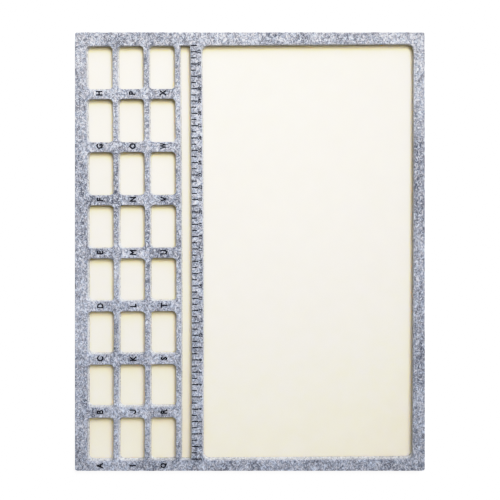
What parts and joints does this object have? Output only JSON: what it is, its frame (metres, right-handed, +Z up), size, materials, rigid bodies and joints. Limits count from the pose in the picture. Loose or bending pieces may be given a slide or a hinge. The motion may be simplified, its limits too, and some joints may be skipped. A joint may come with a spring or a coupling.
{
  "type": "bead mat",
  "caption": "Flat bead mat: a die-cut felt panel with rows of lettered pockets, a stringing channel beside a ruler and a large work window, bonded over soft bead cloth.",
  "frame": {"origin": "middle of the underside of the bead cloth", "axes": "+X along the ruler from its zero to its high end, +Y from the user's edge to the back row of pockets, +Z up out of the felt"},
  "size_m": [0.3562, 0.2842, 0.0082],
  "materials": {
    "felt": "grey marl needled felt, matt",
    "cloth": "cream short-nap plush, matt",
    "glue": "milky adhesive web, satin"
  },
  "bodies": {
    "root": {"felt_panel": "felt", "bead_cloth": "cloth", "adhesive_web": "glue"}
  },
  "joints": []
}
